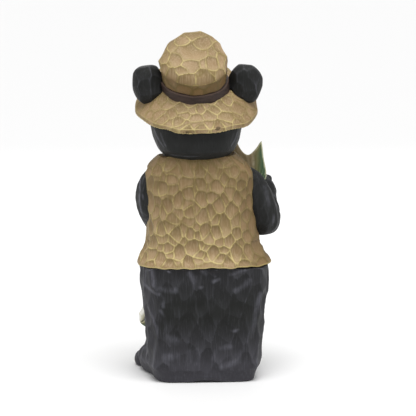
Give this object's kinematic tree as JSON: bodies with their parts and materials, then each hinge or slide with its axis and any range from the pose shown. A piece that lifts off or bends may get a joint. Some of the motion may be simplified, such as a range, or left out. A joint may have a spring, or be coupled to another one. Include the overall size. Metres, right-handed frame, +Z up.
{
  "type": "garden bear statue",
  "caption": "Standing bear statue in chainsaw-carved style, in a tipped-back hat and open vest, holding a long fish across its front.",
  "frame": {"origin": "middle of the figure's footprint box, on the ground", "axes": "+Z up, the bear faces -Y, its left hand is on +X"},
  "size_m": [0.2196, 0.1899, 0.5089],
  "materials": {
    "dark_fur_paint": "matte black paint on chip-carved cast resin, dry-brushed grey on the edges",
    "tan_paint": "matte tan paint on gouge-carved cast resin, pale yellow on the ridges between cuts",
    "band_paint": "matte maroon-brown paint",
    "fish_paint": "green back, olive flank and cream belly, matte",
    "muzzle_paint": "matte brown paint, dry-brushed tan",
    "claw_paint": "horn-coloured paint",
    "gloss_black_paint": "gloss black enamel on the nose and eyes"
  },
  "bodies": {
    "root": {"carved_bear": "dark_fur_paint"}
  },
  "joints": []
}
